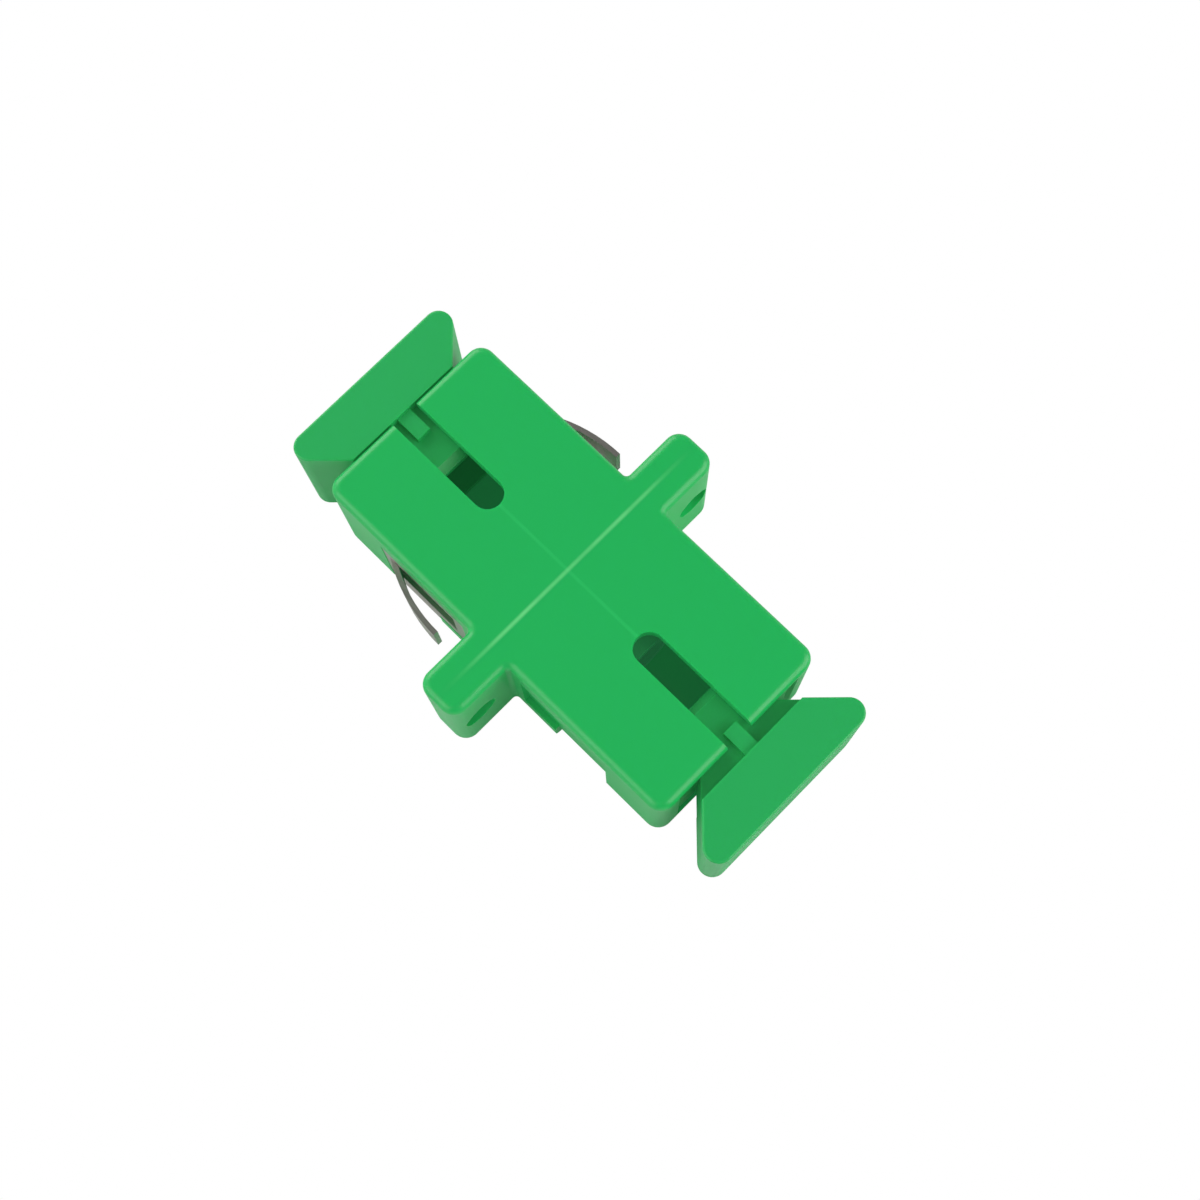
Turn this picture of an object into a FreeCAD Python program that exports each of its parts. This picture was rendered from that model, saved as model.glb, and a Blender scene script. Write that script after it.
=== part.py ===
import FreeCAD, Part
import math
import os
import Sketcher

# Fibre-optic through adapter for a panel, with a square port at each end, two
# screw ears, a sprung sheet-metal panel clip and two flared dust caps.
# X runs along the ports, Y across the ears, Z up towards the key slots.
# The origin is the middle of the weld plane, in the centre of the ears.

SIZES = [
    ("body_length", 27.4, "housing end to end, both halves"),
    ("port_width", 9.1, "port opening across"),
    ("port_height", 7.5, "port opening high"),
    ("side_wall", 1.85, "housing past the port, each side"),
    ("top_wall", 0.9, "housing and ears past the port, top and bottom"),
    ("screw_spacing", 18.0, "between the two screw holes"),
    ("ear_reach", 1.75, "ear past the middle of its screw hole"),
    ("ear_thickness", 3.1, "ears, both halves"),
    ("screw_hole", 2.3, "screw hole diameter"),
    ("edge_round", 0.56, "rounding of the top and bottom outline"),
    ("corner_round", 0.95, "upright outer corners"),
    ("inner_corner_round", 0.3, "upright corners between ear and side wall"),
    ("seam_bevel", 0.12, "bevel of each half at the weld line"),
    ("mouth_bevel", 0.25, "lead-in round the port mouth"),
    ("key_slot_width", 1.95, "key slot in the top wall"),
    ("key_slot_length", 8.1, "key slot from the housing end to its round end"),
    ("seat_rim_side", 0.6, "pocket for the latch base past the port, each side"),
    ("seat_rim_top", 0.4, "pocket for the latch base past the port, top and bottom"),
    ("seat_depth", 0.9, "pocket for the latch base, into each half"),
    ("seat_clearance", 0.05, "latch base inside its pocket, each side"),
    ("barrel_outer", 4.6, "sleeve barrel outside diameter"),
    ("barrel_length", 6.2, "weld plane to the barrel's front"),
    ("barrel_lip_bore", 2.86, "hole in the barrel's front lip"),
    ("barrel_lip_bevel", 0.25, "lead-in of the front lip"),
    ("arm_clearance", 0.5, "latch arm off the port's side wall"),
    ("arm_thickness", 0.75, "latch arm across"),
    ("arm_width", 2.6, "latch arm high"),
    ("arm_length", 9.1, "weld plane to the tip of a latch arm"),
    ("hook_reach", 0.75, "hook, inwards from the arm"),
    ("hook_land", 0.3, "flat at the top of the hook"),
    ("hook_catch", 0.3, "length of the steep catching side"),
    ("hook_ramp", 1.0, "length of the sloping lead-in"),
    ("tip_setback", 0.2, "arm tip, outwards of the inner face"),
    ("arm_root_round", 0.3, "fillet where an arm leaves the base"),
    ("sleeve_outer", 3.2, "split sleeve outside diameter"),
    ("sleeve_inner", 2.5, "split sleeve inside diameter"),
    ("sleeve_length", 11.4, "split sleeve"),
    ("sleeve_slit", 0.5, "gap of the split"),
    ("sleeve_clearance", 0.05, "sleeve inside the barrels, each side"),
    ("sheet", 0.32, "panel clip sheet thickness"),
    ("clip_recess", 0.4, "depth of the clip's recess in the housing"),
    ("clip_clearance", 0.05, "clip inside its recess"),
    ("bend_inside", 0.5, "inside radius of the clip's two bends"),
    ("strap_start", 5.0, "weld plane to the strap's recess"),
    ("strap_width", 4.3, "length of the strap's recess along X"),
    ("relief_start", 2.4, "weld plane to the spring's recess"),
    ("relief_drop", 2.8, "spring's recess below the middle"),
    ("recess_top", 2.6, "clip's recess above the middle"),
    ("tongue_width", 2.8, "spring tongue high"),
    ("tongue_gap", 0.15, "cut round the spring tongue"),
    ("tongue_root", 8.7, "weld plane to where a tongue leaves its plate"),
    ("tongue_tip", 3.5, "weld plane to the free end of a tongue"),
    ("tongue_spread", 1.45, "free end outwards of the side plate"),
    ("tongue_overlap", 0.4, "plate left joined to the tongue at its root"),
    ("cap_clearance", 0.1, "cap plug inside the port, each side"),
    ("cap_seat_gap", 0.05, "handle off the housing end when pushed home"),
    ("plug_arm_gap", 0.45, "cap plug short of the latch arms"),
    ("plug_wall", 0.9, "cap plug wall"),
    ("plug_round", 0.7, "long corners of the cap plug"),
    ("plug_bevel", 0.5, "lead-in of the cap plug"),
    ("plug_floor", 0.7, "closing wall between the plug's hollow and the neck"),
    ("neck_length", 1.15, "neck of the cap, between plug and handle"),
    ("handle_setback", 0.2, "cap handle below the housing's top and above its bottom"),
    ("handle_length", 3.4, "cap handle along X"),
    ("handle_root", 8.2, "cap handle across, next to the housing"),
    ("handle_corner", 0.9, "upright outer corners of the handle"),
    ("handle_round", 0.15, "top and bottom outline of the handle"),
    ("key_rib_width", 1.0, "rib of the cap inside the key slot"),
    ("key_rib_height", 0.5, "rib above the cap's neck"),
    ("key_rib_reach", 0.6, "rib over the plug"),
    ("front_cap_out", 0.9, "front cap stands this far out of its seat"),
]

doc = FreeCAD.newDocument("fibre_adapter")
sizes = doc.addObject("Spreadsheet::Sheet", "sizes")
for row, (alias, amount, meaning) in enumerate(SIZES, start=1):
    sizes.set("A%d" % row, meaning)
    sizes.set("B%d" % row, str(amount))
    sizes.setAlias("B%d" % row, alias)
doc.recompute()

ORIGIN = -1
START, END, CENTRE = 1, 2, 3
BEYOND = 1.0
NEAR = 1e-4


def sized(text):
    """Write a bare size name as the sheet's cell."""
    names = sorted((alias for alias, _, _ in SIZES), key=len, reverse=True)
    words = text.replace("(", " ( ").replace(")", " ) ").split()
    return " ".join("sizes." + word if word in names else word for word in words)


def value(text):
    """Number that an expression of size names gives."""
    return float(sizes.evalExpression(sized(text)))


def new_body(name):
    body = doc.addObject("PartDesign::Body", name)
    body.Label = name
    return body


def new_sketch(body, name, role, offset="0"):
    """Sketch on one of the body's own origin planes, moved along its normal."""
    sketch = body.newObject("Sketcher::SketchObject", name)
    plane = next(item for item in body.Origin.OriginFeatures if item.Role == role)
    sketch.AttachmentSupport = (plane, [""])
    sketch.MapMode = "FlatFace"
    sketch.setExpression("AttachmentOffset.Base.z", sized(offset))
    return sketch


def place_along(sketch, geometry, point, kind, text):
    """Bind one of a point's coordinates to an expression."""
    amount = value(text)
    if abs(amount) < NEAR:
        axis = -2 if kind == "DistanceX" else -1
        sketch.addConstraint(Sketcher.Constraint("PointOnObject", geometry, point, axis))
        return
    if amount > 0:
        ends = (ORIGIN, START, geometry, point)
        bound = text
    else:
        ends = (geometry, point, ORIGIN, START)
        bound = "0 - ( %s )" % text
    index = sketch.addConstraint(Sketcher.Constraint(kind, *ends, abs(amount)))
    sketch.setExpression("Constraints[%d]" % index, sized(bound))


def place_across(sketch, geometry, point, text):
    place_along(sketch, geometry, point, "DistanceX", text)


def place_point(sketch, geometry, point, across, up):
    place_along(sketch, geometry, point, "DistanceX", across)
    place_along(sketch, geometry, point, "DistanceY", up)


def add_outline(sketch, corners):
    """Closed outline through corners that are pairs of expressions."""
    points = [FreeCAD.Vector(value(across), value(up), 0) for across, up in corners]
    first = sketch.GeometryCount
    count = len(points)
    for step in range(count):
        sketch.addGeometry(Part.LineSegment(points[step], points[(step + 1) % count]), False)
    for step in range(count):
        following = first + (step + 1) % count
        sketch.addConstraint(Sketcher.Constraint("Coincident", first + step, END, following, START))
    for step, (across, up) in enumerate(corners):
        place_point(sketch, first + step, START, across, up)


def add_rectangle(sketch, left, right, low, high):
    add_outline(sketch, [(left, low), (right, low), (right, high), (left, high)])


def add_centred_rectangle(sketch, width, height):
    half_width, half_height = "( %s ) / 2" % width, "( %s ) / 2" % height
    add_rectangle(sketch, "0 - " + half_width, half_width, "0 - " + half_height, half_height)


def add_circle(sketch, across, up, diameter):
    centre = FreeCAD.Vector(value(across), value(up), 0)
    normal = FreeCAD.Vector(0, 0, 1)
    radius = value(diameter) / 2
    index = sketch.addGeometry(Part.Circle(centre, normal, radius), False)
    place_point(sketch, index, CENTRE, across, up)
    bound = sketch.addConstraint(Sketcher.Constraint("Diameter", index, 2 * radius))
    sketch.setExpression("Constraints[%d]" % bound, sized(diameter))


def pad(body, name, sketch, length, both_ways=False):
    feature = body.newObject("PartDesign::Pad", name)
    feature.Profile = sketch
    feature.Type = "Length"
    feature.Midplane = both_ways
    feature.setExpression("Length", sized(length))
    doc.recompute()
    return feature


def pocket(body, name, sketch, length, both_ways=False):
    """Cut along the sketch's normal, and make sure that it takes material."""
    before = body.Shape.Volume
    feature = body.newObject("PartDesign::Pocket", name)
    feature.Profile = sketch
    feature.Type = "Length"
    feature.Midplane = both_ways
    feature.Reversed = not both_ways
    feature.setExpression("Length", sized(length))
    doc.recompute()
    if not feature.Shape.Volume < before - NEAR:
        raise ValueError(name + " cuts nothing")
    return feature


def edge_names(shape, wanted):
    return ["Edge%d" % number for number, edge in enumerate(shape.Edges, start=1) if wanted(edge)]


def round_edges(body, name, radius, wanted):
    base = body.Tip
    feature = body.newObject("PartDesign::Fillet", name)
    feature.Base = (base, edge_names(base.Shape, wanted))
    feature.setExpression("Radius", sized(radius))
    doc.recompute()
    return feature


def bevel_edges(body, name, width, wanted):
    base = body.Tip
    feature = body.newObject("PartDesign::Chamfer", name)
    feature.Base = (base, edge_names(base.Shape, wanted))
    feature.setExpression("Size", sized(width))
    doc.recompute()
    return feature


def mirror_across_y(body, name, original):
    plane = next(item for item in body.Origin.OriginFeatures if item.Role == "XZ_Plane")
    feature = body.newObject("PartDesign::Mirrored", name)
    feature.Originals = [original]
    feature.MirrorPlane = (plane, [""])
    body.Tip = feature
    doc.recompute()
    return feature


def is_upright(edge):
    box = edge.BoundBox
    return box.XLength < NEAR and box.YLength < NEAR and box.ZLength > NEAR


def is_along_x(edge):
    box = edge.BoundBox
    return box.YLength < NEAR and box.ZLength < NEAR and box.XLength > NEAR


def lies_at(edge, axis, place):
    """True for an edge in the plane where the axis has that value."""
    box = edge.BoundBox
    low, high = getattr(box, axis + "Min"), getattr(box, axis + "Max")
    return abs(low - place) < NEAR and abs(high - place) < NEAR


def passes_through(edge, across_x, across_y):
    """True for an upright edge at that place in plan, on either side."""
    middle = edge.CenterOfMass
    return abs(middle.x - across_x) < NEAR and abs(abs(middle.y) - across_y) < NEAR


# Housing: two like halves, welded where the ears meet

BODY_WIDTH = "( port_width + 2 * side_wall )"
BODY_HEIGHT = "( port_height + 2 * top_wall )"
EAR_SPAN = "( screw_spacing + 2 * ear_reach )"
SEAT_WIDTH = "port_width + 2 * seat_rim_side"
SEAT_HEIGHT = "port_height + 2 * seat_rim_top"


def housing_blank(body):
    """Plus-shaped half plan, with its upright and outline edges rounded."""
    plan = new_sketch(body, body.Name + "_plan", "XY_Plane")
    end, ear = "body_length / 2", "ear_thickness / 2"
    side, ear_end = BODY_WIDTH + " / 2", EAR_SPAN + " / 2"
    add_outline(plan, [
        ("0", "0 - " + ear_end), (ear, "0 - " + ear_end), (ear, "0 - " + side),
        (end, "0 - " + side), (end, side), (ear, side), (ear, ear_end), ("0", ear_end)])
    pad(body, body.Name + "_block", plan, BODY_HEIGHT, both_ways=True)
    round_edges(body, body.Name + "_corners", "corner_round", lambda edge: is_upright(edge) and (
        passes_through(edge, value(end), value(side))
        or passes_through(edge, value(ear), value(ear_end))))
    round_edges(body, body.Name + "_inner_corners", "inner_corner_round",
                lambda edge: is_upright(edge) and passes_through(edge, value(ear), value(side)))
    top = value(BODY_HEIGHT + " / 2")
    round_edges(body, body.Name + "_outline", "edge_round", lambda edge: (
        lies_at(edge, "Z", top) or lies_at(edge, "Z", -top)) and not lies_at(edge, "X", 0))
    bevel_edges(body, body.Name + "_seam", "seam_bevel", lambda edge: lies_at(edge, "X", 0))


def cut_port(body):
    """Through port, its lead-in, and the pocket that holds the latch base."""
    port = new_sketch(body, body.Name + "_port_profile", "YZ_Plane")
    add_centred_rectangle(port, "port_width", "port_height")
    pocket(body, body.Name + "_port", port, "body_length / 2 + %s" % BEYOND)
    end = value("body_length / 2")
    half_width, half_height = value("port_width / 2"), value("port_height / 2")
    bevel_edges(body, body.Name + "_mouth", "mouth_bevel", lambda edge: lies_at(edge, "X", end) and (
        lies_at(edge, "Y", half_width) or lies_at(edge, "Y", -half_width)
        or lies_at(edge, "Z", half_height) or lies_at(edge, "Z", -half_height)))
    seat = new_sketch(body, body.Name + "_seat_profile", "YZ_Plane")
    add_centred_rectangle(seat, SEAT_WIDTH, SEAT_HEIGHT)
    pocket(body, body.Name + "_seat", seat, "seat_depth")


def cut_key_slot(body):
    """Slot in the top wall, open at the housing end and round at the other."""
    sketch = new_sketch(body, body.Name + "_key_profile", "XY_Plane")
    round_centre = "body_length / 2 - key_slot_length + key_slot_width / 2"
    open_end = "body_length / 2 + %s" % BEYOND
    half = value("key_slot_width / 2")
    near_x, far_x = value(round_centre), value(open_end)
    circle = Part.Circle(FreeCAD.Vector(near_x, 0, 0), FreeCAD.Vector(0, 0, 1), half)
    arc = sketch.addGeometry(Part.ArcOfCircle(circle, math.pi / 2, 3 * math.pi / 2), False)
    corners = [(near_x, -half), (far_x, -half), (far_x, half), (near_x, half)]
    points = [FreeCAD.Vector(across, up, 0) for across, up in corners]
    lines = [sketch.addGeometry(Part.LineSegment(points[step], points[step + 1]), False)
             for step in range(3)]
    lower, closing, upper = lines
    for kind, one, one_end, other, other_end in (
            ("Tangent", arc, END, lower, START), ("Coincident", lower, END, closing, START),
            ("Coincident", closing, END, upper, START), ("Tangent", upper, END, arc, START)):
        sketch.addConstraint(Sketcher.Constraint(kind, one, one_end, other, other_end))
    for line in (lower, upper):
        sketch.addConstraint(Sketcher.Constraint("Horizontal", line))
    sketch.addConstraint(Sketcher.Constraint("Vertical", closing))
    place_point(sketch, arc, CENTRE, round_centre, "0")
    place_point(sketch, closing, END, open_end, "key_slot_width / 2")
    pocket(body, body.Name + "_key_slot", sketch, BODY_HEIGHT)


def cut_screw_holes(body):
    sketch = new_sketch(body, body.Name + "_screw_profile", "YZ_Plane")
    add_circle(sketch, "screw_spacing / 2", "0", "screw_hole")
    add_circle(sketch, "0 - screw_spacing / 2", "0", "screw_hole")
    pocket(body, body.Name + "_screw_holes", sketch, "ear_thickness / 2 + %s" % BEYOND)


def cut_clip_recess(body):
    """Recess round the bottom and sides for the strap, and reliefs for the springs."""
    floor_y = BODY_WIDTH + " / 2 - clip_recess"
    floor_z = "clip_recess - %s / 2" % BODY_HEIGHT
    outside_y = "%s / 2 + %s" % (BODY_WIDTH, BEYOND)
    outside_z = "0 - %s / 2 - %s" % (BODY_HEIGHT, BEYOND)
    strap = new_sketch(body, body.Name + "_strap_profile", "YZ_Plane", "strap_start")
    add_outline(strap, [
        ("0 - ( %s )" % outside_y, outside_z), (outside_y, outside_z),
        (outside_y, "recess_top"), (floor_y, "recess_top"), (floor_y, floor_z),
        ("0 - ( %s )" % floor_y, floor_z), ("0 - ( %s )" % floor_y, "recess_top"),
        ("0 - ( %s )" % outside_y, "recess_top")])
    pocket(body, body.Name + "_strap_recess", strap, "strap_width")
    bend_y, bend_z = value(floor_y), value(floor_z)
    round_edges(body, body.Name + "_strap_bends", "bend_inside", lambda edge: (
        is_along_x(edge) and lies_at(edge, "Z", bend_z)
        and abs(abs(edge.CenterOfMass.y) - bend_y) < NEAR))
    relief = new_sketch(body, body.Name + "_relief_profile", "YZ_Plane", "relief_start")
    add_rectangle(relief, floor_y, outside_y, "0 - relief_drop", "recess_top")
    add_rectangle(relief, "0 - ( %s )" % outside_y, "0 - ( %s )" % floor_y,
                  "0 - relief_drop", "recess_top")
    pocket(body, body.Name + "_spring_relief", relief, "strap_start + strap_width - relief_start")


def housing_half(name):
    body = new_body(name)
    housing_blank(body)
    cut_port(body)
    cut_key_slot(body)
    cut_screw_holes(body)
    cut_clip_recess(body)
    return body


# Latch holder: base plate, sleeve barrel and two hooked arms, one moulding


def latch_holder(name):
    body = new_body(name)
    base = new_sketch(body, name + "_base_profile", "YZ_Plane")
    add_centred_rectangle(base, SEAT_WIDTH + " - 2 * seat_clearance", SEAT_HEIGHT + " - 2 * seat_clearance")
    pad(body, name + "_base", base, "seat_depth - seat_clearance")
    barrel = new_sketch(body, name + "_barrel_profile", "YZ_Plane")
    add_circle(barrel, "0", "0", "barrel_outer")
    pad(body, name + "_barrel", barrel, "barrel_length")
    arm = new_sketch(body, name + "_arm_plan", "XY_Plane")
    outer = "port_width / 2 - arm_clearance"
    inner = outer + " - arm_thickness"
    ramp_start = "arm_length - hook_ramp"
    land_start = ramp_start + " - hook_land"
    root = "( seat_depth - seat_clearance ) / 2"
    add_outline(arm, [
        (root, inner), (land_start + " - hook_catch", inner),
        (land_start, inner + " - hook_reach"), (ramp_start, inner + " - hook_reach"),
        ("arm_length", inner + " + tip_setback"), ("arm_length", outer), (root, outer)])
    arm_pad = pad(body, name + "_arm", arm, "arm_width", both_ways=True)
    mirror_across_y(body, name + "_other_arm", arm_pad)
    base_face = value("seat_depth - seat_clearance")
    faces = (value(inner), value(outer))
    round_edges(body, name + "_arm_roots", "arm_root_round", lambda edge: (
        is_upright(edge) and lies_at(edge, "X", base_face)
        and any(abs(abs(edge.CenterOfMass.y) - face) < NEAR for face in faces)))
    bore = new_sketch(body, name + "_bore_profile", "YZ_Plane")
    add_circle(bore, "0", "0", "sleeve_outer + 2 * sleeve_clearance")
    pocket(body, name + "_sleeve_bore", bore, "sleeve_length / 2 + sleeve_clearance")
    lip = new_sketch(body, name + "_lip_profile", "YZ_Plane")
    add_circle(lip, "0", "0", "barrel_lip_bore")
    pocket(body, name + "_lip_bore", lip, "barrel_length + %s" % BEYOND)
    front, lip_radius = value("barrel_length"), value("barrel_lip_bore / 2")
    bevel_edges(body, name + "_lip_lead_in", "barrel_lip_bevel", lambda edge: (
        lies_at(edge, "X", front) and abs(edge.BoundBox.YMax - lip_radius) < NEAR))
    return body


# Split sleeve: a ceramic tube with one slit along it


def split_sleeve(name):
    body = new_body(name)
    ring = new_sketch(body, name + "_ring", "YZ_Plane")
    add_circle(ring, "0", "0", "sleeve_outer")
    add_circle(ring, "0", "0", "sleeve_inner")
    pad(body, name + "_tube", ring, "sleeve_length", both_ways=True)
    slit = new_sketch(body, name + "_slit_profile", "YZ_Plane")
    add_rectangle(slit, "0 - sleeve_slit / 2", "sleeve_slit / 2", "0", "sleeve_outer")
    pocket(body, name + "_slit", slit, "sleeve_length + %s" % BEYOND, both_ways=True)
    return body


# Panel clip: one strip of spring sheet, bent round the housing, with two
# tongues cut from its side plates


def add_bowed_strip(sketch, plate_y):
    """Tongue in plan: leaves the plate at its root, and is level with it at its free end."""
    reach = "( tongue_root - tongue_tip )"
    radius = "( %s * %s + tongue_spread * tongue_spread ) / ( 2 * tongue_spread )" % (reach, reach)
    centre_y = "%s + tongue_spread - %s" % (plate_y, radius)
    centre = FreeCAD.Vector(value("tongue_tip"), value(centre_y), 0)
    normal = FreeCAD.Vector(0, 0, 1)
    radii = (radius, "%s - sheet" % radius)
    root_angle = math.acos(value(reach) / value(radius))
    arcs = [sketch.addGeometry(Part.ArcOfCircle(Part.Circle(centre, normal, value(each)),
                                                root_angle, math.pi / 2), False) for each in radii]
    ends = [(arcs[0], START, arcs[1], START), (arcs[0], END, arcs[1], END)]
    points = {START: root_angle, END: math.pi / 2}
    for one, one_end, other, other_end in ends:
        angle = points[one_end]
        along = FreeCAD.Vector(math.cos(angle), math.sin(angle), 0)
        line = sketch.addGeometry(Part.LineSegment(
            centre + along * value(radii[0]), centre + along * value(radii[1])), False)
        sketch.addConstraint(Sketcher.Constraint("Coincident", one, one_end, line, START))
        sketch.addConstraint(Sketcher.Constraint("Coincident", other, other_end, line, END))
    for arc, each in zip(arcs, radii):
        bound = sketch.addConstraint(Sketcher.Constraint("Radius", arc, value(each)))
        sketch.setExpression("Constraints[%d]" % bound, sized(each))
    place_point(sketch, arcs[0], CENTRE, "tongue_tip", centre_y)
    place_point(sketch, arcs[1], CENTRE, "tongue_tip", centre_y)
    place_across(sketch, arcs[0], START, "tongue_root")
    place_across(sketch, arcs[1], START, "tongue_tip + %s * ( %s ) / ( %s )" % (reach, radii[1], radius))
    for arc in arcs:
        place_across(sketch, arc, END, "tongue_tip")


def panel_clip(name):
    body = new_body(name)
    inside_y = BODY_WIDTH + " / 2 - clip_recess + clip_clearance"
    inside_z = BODY_HEIGHT + " / 2 - clip_recess + clip_clearance"
    outside_y, outside_z = inside_y + " + sheet", inside_z + " + sheet"
    top = "recess_top - clip_clearance"
    strap = new_sketch(body, name + "_strap_profile", "YZ_Plane", "strap_start + clip_clearance")
    add_outline(strap, [
        ("0 - ( %s )" % outside_y, "0 - ( %s )" % outside_z), (outside_y, "0 - ( %s )" % outside_z),
        (outside_y, top), (inside_y, top), (inside_y, "0 - ( %s )" % inside_z),
        ("0 - ( %s )" % inside_y, "0 - ( %s )" % inside_z),
        ("0 - ( %s )" % inside_y, top), ("0 - ( %s )" % outside_y, top)])
    pad(body, name + "_strap", strap, "strap_width - 2 * clip_clearance")
    for where, radius, face_y, face_z in (
            ("inside", "bend_inside + clip_clearance", inside_y, inside_z),
            ("outside", "bend_inside + clip_clearance + sheet", outside_y, outside_z)):
        round_edges(body, "%s_%s_bends" % (name, where), radius, lambda edge: (
            is_along_x(edge) and lies_at(edge, "Z", -value(face_z))
            and abs(abs(edge.CenterOfMass.y) - value(face_y)) < NEAR))
    plates = new_sketch(body, name + "_plate_profile", "YZ_Plane", "relief_start + clip_clearance")
    low = "clip_clearance - relief_drop"
    add_rectangle(plates, inside_y, outside_y, low, top)
    add_rectangle(plates, "0 - ( %s )" % outside_y, "0 - ( %s )" % inside_y, low, top)
    pad(body, name + "_plates", plates, "strap_start + strap_width - relief_start - 2 * clip_clearance")
    window = new_sketch(body, name + "_window_profile", "XZ_Plane")
    window_half = "tongue_width / 2 + tongue_gap"
    add_rectangle(window, "tongue_tip - tongue_gap", "tongue_root - tongue_overlap",
                  "0 - ( %s )" % window_half, window_half)
    pocket(body, name + "_windows", window, "%s + %s" % (BODY_WIDTH, BEYOND), both_ways=True)
    tongue = new_sketch(body, name + "_tongue_plan", "XY_Plane")
    add_bowed_strip(tongue, outside_y)
    tongue_pad = pad(body, name + "_tongue", tongue, "tongue_width", both_ways=True)
    mirror_across_y(body, name + "_other_tongue", tongue_pad)
    return body


# Dust cap: hollow plug with a key rib, and a flared handle


def add_flare(sketch, near_x, far_x, near_y, far_y):
    """Plan that widens from near_x to far_x, alike on both sides."""
    add_outline(sketch, [
        (near_x, "0 - ( %s )" % near_y), (far_x, "0 - ( %s )" % far_y),
        (far_x, far_y), (near_x, near_y)])


def dust_cap(name):
    body = new_body(name)
    width = "( port_width - 2 * cap_clearance )"
    height = "( port_height - 2 * cap_clearance )"
    home = "body_length / 2 + cap_seat_gap"
    inner_end = "arm_length + plug_arm_gap"
    neck_start = home + " - neck_length"
    plug = new_sketch(body, name + "_plug_profile", "YZ_Plane", inner_end)
    add_centred_rectangle(plug, width, height)
    pad(body, name + "_plug", plug, "%s - ( %s )" % (neck_start, inner_end))
    round_edges(body, name + "_plug_corners", "plug_round", is_along_x)
    start = value(inner_end)
    bevel_edges(body, name + "_plug_lead_in", "plug_bevel", lambda edge: lies_at(edge, "X", start))
    neck = new_sketch(body, name + "_neck_plan", "XY_Plane")
    add_flare(neck, neck_start, home, "handle_root / 2 - neck_length", "handle_root / 2")
    pad(body, name + "_neck", neck, height, both_ways=True)
    handle = new_sketch(body, name + "_handle_plan", "XY_Plane")
    outer = home + " + handle_length"
    span = "handle_root / 2 + handle_length"
    add_flare(handle, home, outer, "handle_root / 2", span)
    handle_height = "( %s - 2 * handle_setback )" % BODY_HEIGHT
    pad(body, name + "_handle", handle, handle_height, both_ways=True)
    outer_x, outer_y = value(outer), value(span)
    round_edges(body, name + "_handle_corners", "handle_corner",
                lambda edge: is_upright(edge) and passes_through(edge, outer_x, outer_y))
    top, root_x = value(handle_height + " / 2"), value(home)
    round_edges(body, name + "_handle_outline", "handle_round", lambda edge: (
        lies_at(edge, "Z", top) or lies_at(edge, "Z", -top)) and not lies_at(edge, "X", root_x))
    rib = new_sketch(body, name + "_rib_profile", "YZ_Plane", neck_start + " - key_rib_reach")
    add_rectangle(rib, "0 - key_rib_width / 2", "key_rib_width / 2", "0", height + " / 2 + key_rib_height")
    pad(body, name + "_key_rib", rib, "neck_length + key_rib_reach")
    hollow = new_sketch(body, name + "_hollow_profile", "YZ_Plane", inner_end)
    add_centred_rectangle(hollow, width + " - 2 * plug_wall", height + " - 2 * plug_wall")
    pocket(body, name + "_hollow", hollow, "%s - ( %s ) - plug_floor" % (neck_start, inner_end))
    return body


# Placing: the rear pieces are the front ones turned half a turn about Z

HALF_TURN = FreeCAD.Rotation(FreeCAD.Vector(0, 0, 1), 180)
AS_DRAWN = FreeCAD.Rotation()


def place(body, rotation, shift_x="0"):
    body.Placement = FreeCAD.Placement(FreeCAD.Vector(0, 0, 0), rotation)
    body.setExpression("Placement.Base.x", sized(shift_x))
    return body


pieces = [
    place(housing_half("housing_front"), AS_DRAWN),
    place(housing_half("housing_rear"), HALF_TURN),
    place(latch_holder("latch_holder_front"), AS_DRAWN),
    place(latch_holder("latch_holder_rear"), HALF_TURN),
    place(split_sleeve("split_sleeve"), AS_DRAWN),
    place(panel_clip("panel_clip"), HALF_TURN),
    place(dust_cap("dust_cap_front"), AS_DRAWN, "front_cap_out"),
    place(dust_cap("dust_cap_rear"), HALF_TURN),
]
doc.recompute()

# Checks, then one file for each piece

for item in doc.Objects:
    if "Invalid" in item.State or "Error" in item.State:
        raise RuntimeError("%s did not compute: %s" % (item.Name, item.State))
for piece in pieces:
    if piece.Shape.isNull() or not piece.Shape.isValid() or len(piece.Shape.Solids) != 1:
        raise RuntimeError("%s is not one valid solid" % piece.Label)

os.makedirs("parts", exist_ok=True)
for piece in pieces:
    piece.Shape.exportStep("parts/%s.step" % piece.Label)
    print(piece.Label, round(piece.Shape.Volume, 2), "mm3")
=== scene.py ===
import math

import bpy
from mathutils import Matrix, Vector
from mathutils.geometry import convex_hull_2d


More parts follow.
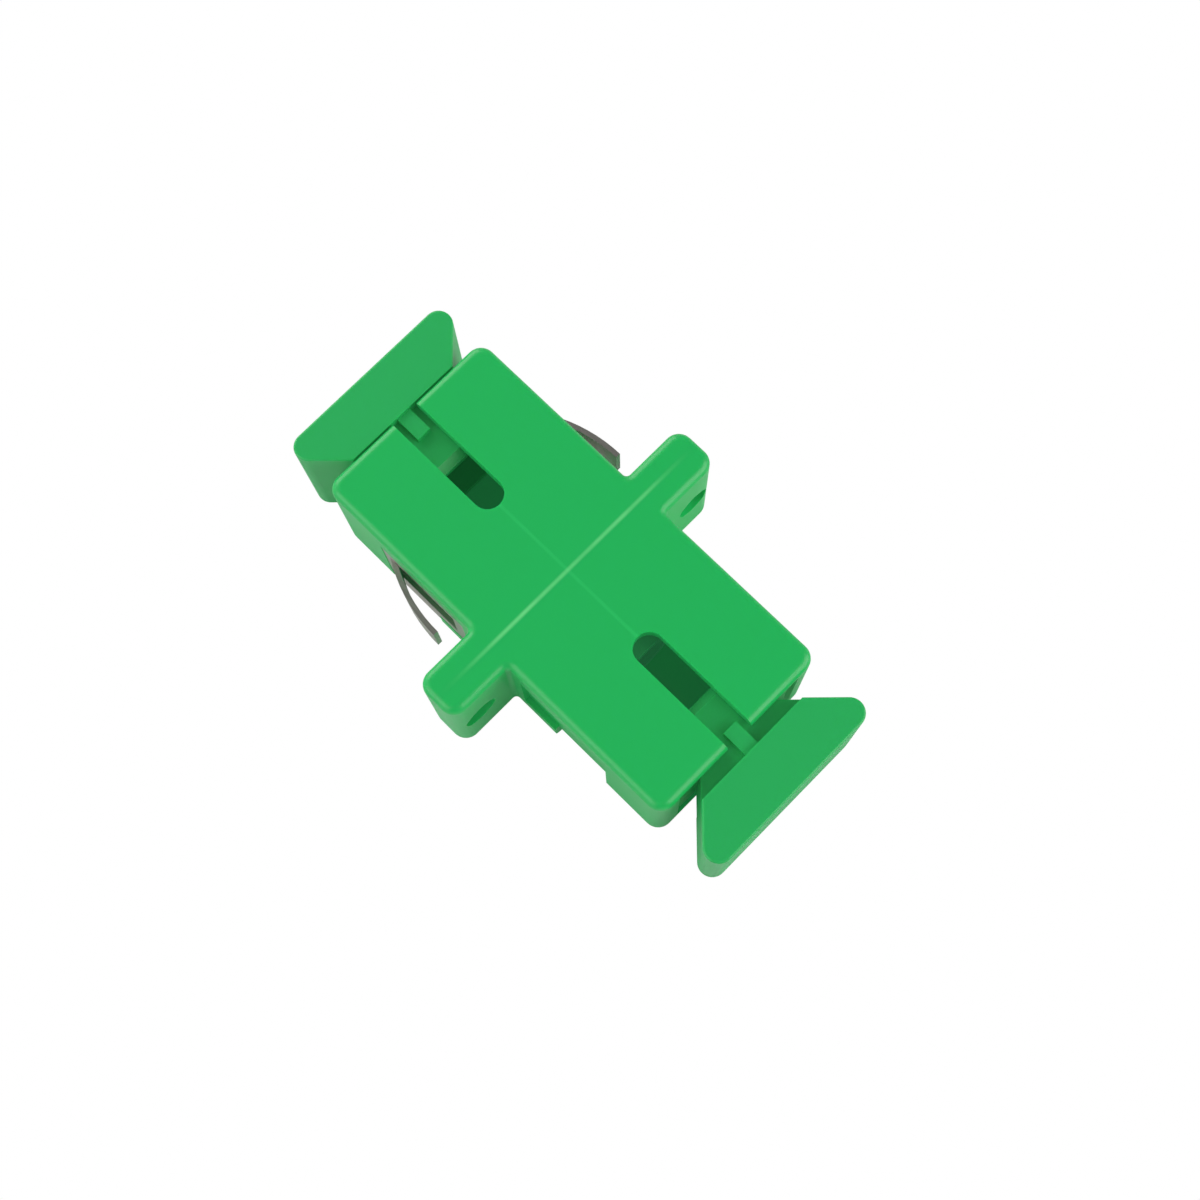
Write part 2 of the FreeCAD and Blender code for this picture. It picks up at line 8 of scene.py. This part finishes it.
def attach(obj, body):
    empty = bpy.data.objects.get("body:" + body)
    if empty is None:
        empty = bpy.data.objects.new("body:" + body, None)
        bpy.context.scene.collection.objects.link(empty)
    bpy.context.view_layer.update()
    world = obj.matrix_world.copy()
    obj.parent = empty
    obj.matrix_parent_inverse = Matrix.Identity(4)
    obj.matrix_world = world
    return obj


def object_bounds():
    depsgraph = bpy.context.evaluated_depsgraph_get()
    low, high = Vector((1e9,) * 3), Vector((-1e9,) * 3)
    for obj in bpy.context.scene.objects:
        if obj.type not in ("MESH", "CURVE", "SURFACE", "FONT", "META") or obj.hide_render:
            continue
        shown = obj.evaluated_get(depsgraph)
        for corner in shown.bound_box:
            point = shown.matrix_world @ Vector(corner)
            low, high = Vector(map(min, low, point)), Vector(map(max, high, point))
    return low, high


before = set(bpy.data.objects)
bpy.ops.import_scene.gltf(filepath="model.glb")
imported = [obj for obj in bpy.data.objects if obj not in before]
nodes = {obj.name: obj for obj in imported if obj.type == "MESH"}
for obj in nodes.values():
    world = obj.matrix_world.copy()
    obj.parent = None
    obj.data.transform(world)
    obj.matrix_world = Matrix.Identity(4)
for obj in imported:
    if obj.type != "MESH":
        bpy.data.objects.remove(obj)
low_at_load, high_at_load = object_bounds()
scene = bpy.context.scene
MM = 0.001
WHITE = (1.0, 1.0, 1.0, 1.0)


# Node trees: colours are linear

def new_material(name):
    """New material, its node tree and its surface shader."""
    material = bpy.data.materials.new(name)
    material.use_nodes = True
    tree = material.node_tree
    return material, tree, tree.nodes["Principled BSDF"]


def add(tree, kind, **settings):
    """New node of that kind, with the settings given."""
    node = tree.nodes.new(kind)
    for key, setting in settings.items():
        setattr(node, key, setting)
    return node


def set_inputs(node, values):
    """Sets each named socket of the node to its value."""
    for socket, value in values.items():
        node.inputs[socket].default_value = value


def smooth_ramp(tree, source, start, end, first, last):
    """Eases from first to last while the source goes from start to end."""
    ramp = add(tree, "ShaderNodeMapRange", interpolation_type="SMOOTHSTEP")
    set_inputs(ramp, {"From Min": start, "From Max": end, "To Min": first, "To Max": last})
    tree.links.new(source, ramp.inputs["Value"])
    return ramp.outputs["Result"]


def product(tree, one, other):
    """Product of two sockets, or of a socket and a plain number."""
    node = add(tree, "ShaderNodeMath", operation="MULTIPLY")
    for socket, source in zip(node.inputs, (one, other)):
        if isinstance(source, float):
            socket.default_value = source
        else:
            tree.links.new(source, socket)
    return node.outputs["Value"]


def bump_surface(tree, shader, height, strength, depth):
    """Roughens the surface by the height socket, at most depth deep."""
    bump = add(tree, "ShaderNodeBump")
    set_inputs(bump, {"Strength": strength, "Distance": depth})
    tree.links.new(height, bump.inputs["Height"])
    tree.links.new(bump.outputs["Normal"], shader.inputs["Normal"])


def show_camera(tree, lit, shown, output):
    """Gives the camera's rays the shown surface and all other rays the lit one."""
    path = add(tree, "ShaderNodeLightPath")
    mix = add(tree, "ShaderNodeMixShader")
    tree.links.new(path.outputs["Is Camera Ray"], mix.inputs["Fac"])
    tree.links.new(lit, mix.inputs[1])
    tree.links.new(shown, mix.inputs[2])
    tree.links.new(mix.outputs["Shader"], output.inputs["Surface"])


# Materials

# Added to a part's colour to give its painted glow a paler tint
PAINTED_GLOW_PALER = (0.04, 0.02, 0.08)
# Weld line colour: partly the weld's paler plastic, partly painted light that lifts the shade
# of the groove between the halves
WELD_PALE_AND_LIFT = (0.24, 0.86, 0.32)
PARTING_PALE = (0.02, 0.52, 0.12)
PARTING_SHARE = 0.5

# The mix node's colour sockets share their names with its other sockets
MIX_BELOW, MIX_ABOVE, MIX_COLOUR = 6, 7, 2


def plastic(name, colour, roughness, painted_glow):
    """Moulded plastic with a fine grain and some subsurface scattering, plus a painted glow
    that stands in for the light its thin walls let through into the hollows.
    """
    material, tree, shader = new_material(name)
    painted_glow_colour = [part + more for part, more in zip(colour, PAINTED_GLOW_PALER)]
    set_inputs(shader, {
        "Base Color": (*colour, 1.0),
        "Roughness": roughness,
        "IOR": 1.46,
        "Subsurface Weight": 0.3,
        "Subsurface Radius": (0.3, 1.0, 0.4),
        "Subsurface Scale": 0.5 * MM,
        # Painted glow: the emission stands in for light that the thin walls let through, and
        # lifts the shade in the hollows
        "Emission Color": (*painted_glow_colour, 1.0),
        "Emission Strength": painted_glow,
    })
    place = add(tree, "ShaderNodeTexCoord")
    grain = add(tree, "ShaderNodeTexNoise")
    set_inputs(grain, {"Scale": 2500.0, "Detail": 3.0})
    tree.links.new(place.outputs["Object"], grain.inputs["Vector"])
    bump_surface(tree, shader, grain.outputs["Fac"], strength=0.12, depth=0.01 * MM)
    return material


def rolled_metal(name, colour, roughness):
    """Bare sheet with fine rolling streaks along X."""
    material, tree, shader = new_material(name)
    set_inputs(shader, {"Base Color": (*colour, 1.0), "Metallic": 1.0, "Roughness": roughness})
    place = add(tree, "ShaderNodeTexCoord")
    stretch = add(tree, "ShaderNodeMapping")
    set_inputs(stretch, {"Scale": (200.0, 6000.0, 6000.0)})
    streaks = add(tree, "ShaderNodeTexNoise")
    set_inputs(streaks, {"Scale": 1.0})
    spread = add(tree, "ShaderNodeMapRange")
    set_inputs(spread, {"To Min": roughness - 0.10, "To Max": roughness + 0.14})
    tree.links.new(place.outputs["Object"], stretch.inputs["Vector"])
    tree.links.new(stretch.outputs["Vector"], streaks.inputs["Vector"])
    tree.links.new(streaks.outputs["Fac"], spread.inputs["Value"])
    tree.links.new(spread.outputs["Result"], shader.inputs["Roughness"])
    bump_surface(tree, shader, streaks.outputs["Fac"], strength=0.25, depth=0.004 * MM)
    return material


def fade_from_plane(tree, place, axis, start, end):
    """1 up to start from the plane where that coordinate is 0, and 0 from end on."""
    parts = add(tree, "ShaderNodeSeparateXYZ")
    away = add(tree, "ShaderNodeMath", operation="ABSOLUTE")
    tree.links.new(place.outputs["Object"], parts.inputs["Vector"])
    tree.links.new(parts.outputs[axis], away.inputs[0])
    return smooth_ramp(tree, away.outputs["Value"], start, end, 1.0, 0.0)


def tint(tree, amount, below, colour):
    """Lays a colour over a plain colour or a colour socket, by amount."""
    mix = add(tree, "ShaderNodeMix", data_type="RGBA")
    tree.links.new(amount, mix.inputs["Factor"])
    if isinstance(below, tuple):
        mix.inputs[MIX_BELOW].default_value = below
    else:
        tree.links.new(below, mix.inputs[MIX_BELOW])
    mix.inputs[MIX_ABOVE].default_value = (*colour, 1.0)
    return mix.outputs[MIX_COLOUR]


def add_mould_lines(material):
    """Pale uneven weld line round the middle, partly the weld's own paler plastic and partly
    painted light over the shade of the groove between the halves; and a faint parting line
    along it.
    """
    tree = material.node_tree
    shader = tree.nodes["Principled BSDF"]
    place = add(tree, "ShaderNodeTexCoord")
    patches = add(tree, "ShaderNodeTexNoise")
    set_inputs(patches, {"Scale": 350.0})
    tree.links.new(place.outputs["Object"], patches.inputs["Vector"])
    across = fade_from_plane(tree, place, "X", 0.02 * MM, 0.20 * MM)
    toward_ears = fade_from_plane(tree, place, "Y", 3.0 * MM, 10.5 * MM)
    # Painted in part: the pale weld line also lifts the shade of the groove between the halves
    weld = product(tree, product(tree, across, toward_ears), patches.outputs["Fac"])
    beside = fade_from_plane(tree, place, "Y", 0.04 * MM, 0.16 * MM)
    parting = product(tree, beside, PARTING_SHARE)
    plain = tuple(shader.inputs["Base Color"].default_value)
    lined = tint(tree, parting, plain, PARTING_PALE)
    lined = tint(tree, weld, lined, WELD_PALE_AND_LIFT)
    tree.links.new(lined, shader.inputs["Base Color"])


# The last number of each plastic is the strength of its painted glow, which lifts the shade
# inside
HOUSING = plastic("housing_green", (0.006, 0.430, 0.083), 0.32, 0.14)
add_mould_lines(HOUSING)
CAP = plastic("cap_green", (0.014, 0.425, 0.096), 0.38, 0.06)
HOLDER = plastic("holder_green", (0.014, 0.330, 0.075), 0.45, 0.18)
SLEEVE = plastic("sleeve_ceramic", (0.85, 0.84, 0.79), 0.15, 0.0)
CLIP = rolled_metal("clip_steel", (0.60, 0.57, 0.53), 0.30)

LOOKS = {
    "housing_front": (HOUSING, "housing"),
    "housing_rear": (HOUSING, "housing"),
    "dust_cap_front": (CAP, "dust_cap"),
    "dust_cap_rear": (CAP, "dust_cap"),
    "latch_holder_front": (HOLDER, "latch_holder"),
    "latch_holder_rear": (HOLDER, "latch_holder"),
    "split_sleeve": (SLEEVE, "split_sleeve"),
    "panel_clip": (CLIP, "panel_clip"),
}

for name, (material, slot) in LOOKS.items():
    piece = nodes[name]
    piece.data.materials.clear()
    piece.data.materials.append(material)


# Weld bead, flush in the groove between the two halves

GROOVE_HALF_WIDTH = 0.12 * MM
ON_THE_RIM = 0.002 * MM


def weld_bead(name):
    """Band from rim to rim of the groove, along the hull of the front half's rim."""
    shell = nodes["housing_front"]
    corners = [shell.matrix_world @ corner.co for corner in shell.data.vertices]
    rim = [Vector((corner.y, corner.z)) for corner in corners
           if abs(corner.x - GROOVE_HALF_WIDTH) < ON_THE_RIM]
    rim = [rim[index] for index in convex_hull_2d(rim)]
    count = len(rim)
    points = [(side * GROOVE_HALF_WIDTH, *point) for side in (-1, 1) for point in rim]
    faces = []
    for here in range(count):
        after = (here + 1) % count
        faces.append((here, after, count + after, count + here))
    mesh = bpy.data.meshes.new(name)
    mesh.from_pydata(points, [], faces)
    mesh.update()
    bead = bpy.data.objects.new(name, mesh)
    scene.collection.objects.link(bead)
    mesh.materials.append(HOUSING)
    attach(bead, "adapter")


weld_bead("weld_bead")


# Floor and world

FLOOR_SIZE = 4.0
FLOOR_GAP = 0.02 * MM
FLOOR_GREY = (0.65, 0.65, 0.65, 1.0)

# As light, the world is dimmer above, toward +Y and toward the lens
HEIGHT_FADE = {"start": 0.30, "end": 0.95, "first": 0.92, "last": 0.18}
SIDE_FADE = {"start": 0.0, "end": 0.9, "first": 1.0, "last": 0.22}
LENS_FADE = {"start": 0.40, "end": 0.95, "first": 1.0, "last": 0.15}
LENS_SIDE = (0.79, -0.61, 0.0)


def white_stage():
    """Floor just under the part, grey as a reflector and white to the camera."""
    height = low_at_load.z - FLOOR_GAP
    bpy.ops.mesh.primitive_plane_add(size=FLOOR_SIZE, location=(0, 0, height))
    floor = bpy.context.object
    floor.name = "floor"
    material, tree, shader = new_material("floor_white")
    set_inputs(shader, {"Base Color": FLOOR_GREY, "Roughness": 1.0, "Specular IOR Level": 0.0})
    glow = add(tree, "ShaderNodeEmission")
    set_inputs(glow, {"Color": WHITE})
    output = tree.nodes["Material Output"]
    show_camera(tree, shader.outputs["BSDF"], glow.outputs["Emission"], output)
    floor.data.materials.append(material)


def studio_world():
    """Soft surround, white to the camera."""
    world = bpy.data.worlds.new("studio")
    scene.world = world
    world.use_nodes = True
    tree = world.node_tree
    surround = tree.nodes["Background"]
    set_inputs(surround, {"Color": WHITE})
    place = add(tree, "ShaderNodeTexCoord")
    parts = add(tree, "ShaderNodeSeparateXYZ")
    toward_lens = add(tree, "ShaderNodeVectorMath", operation="DOT_PRODUCT")
    toward_lens.inputs[1].default_value = LENS_SIDE
    tree.links.new(place.outputs["Generated"], parts.inputs["Vector"])
    tree.links.new(place.outputs["Generated"], toward_lens.inputs[0])
    height = smooth_ramp(tree, parts.outputs["Z"], **HEIGHT_FADE)
    side = smooth_ramp(tree, parts.outputs["Y"], **SIDE_FADE)
    lens = smooth_ramp(tree, toward_lens.outputs["Value"], **LENS_FADE)
    strength = product(tree, product(tree, height, side), lens)
    tree.links.new(strength, surround.inputs["Strength"])
    seen = add(tree, "ShaderNodeBackground")
    set_inputs(seen, {"Color": WHITE, "Strength": 1.0})
    output = tree.nodes["World Output"]
    show_camera(tree, surround.outputs["Background"], seen.outputs["Background"], output)


def area_light(name, place, size, power):
    """Square light box that faces the origin."""
    light = bpy.data.lights.new(name, "AREA")
    light.shape = "SQUARE"
    light.size = size
    light.energy = power
    lamp = bpy.data.objects.new(name, light)
    scene.collection.objects.link(lamp)
    lamp.location = place
    lamp.rotation_euler = (-Vector(place)).to_track_quat("-Z", "Y").to_euler()


white_stage()
studio_world()
area_light("key_box", (0.29, 0.18, 0.13), size=0.42, power=1.45)
area_light("back_box", (-0.32, 0.05, 0.12), size=0.32, power=0.75)
area_light("left_box", (-0.06, -0.27, 0.17), size=0.28, power=0.40)


# Camera where the photograph was taken from: angles in degrees

AZIMUTH, ELEVATION, ROLL = 52.184, 76.269, -7.484
DISTANCE = 111.87 * MM
FOCAL_PIXELS, FRAME_PIXELS = 1867.7, 1200.0
ORIGIN_PIXELS = (-29.84, -10.91)
SENSOR_WIDTH = 36.0
NEAR_CLIP, FAR_CLIP = 0.01, 20.0


def photo_camera():
    """Camera that looks at the origin and shows it off the frame's centre."""
    azimuth, elevation, roll = (math.radians(angle) for angle in (AZIMUTH, ELEVATION, ROLL))
    back = Vector((math.sin(azimuth) * math.cos(elevation),
                   -math.cos(azimuth) * math.cos(elevation), math.sin(elevation)))
    right = Vector((math.cos(azimuth), math.sin(azimuth), 0.0))
    up = right.cross(-back)
    turned_right = math.cos(roll) * right + math.sin(roll) * up
    turned_up = -math.sin(roll) * right + math.cos(roll) * up
    data = bpy.data.cameras.new("photo_camera")
    data.sensor_width = SENSOR_WIDTH
    data.lens = SENSOR_WIDTH * FOCAL_PIXELS / FRAME_PIXELS
    data.shift_x = -ORIGIN_PIXELS[0] / FRAME_PIXELS
    data.shift_y = ORIGIN_PIXELS[1] / FRAME_PIXELS
    data.clip_start = NEAR_CLIP
    data.clip_end = FAR_CLIP
    camera = bpy.data.objects.new("photo_camera", data)
    scene.collection.objects.link(camera)
    turn = Matrix((turned_right, turned_up, back)).transposed().to_4x4()
    camera.matrix_world = Matrix.Translation(back * DISTANCE) @ turn
    scene.camera = camera


photo_camera()
scene.view_settings.view_transform = "Standard"
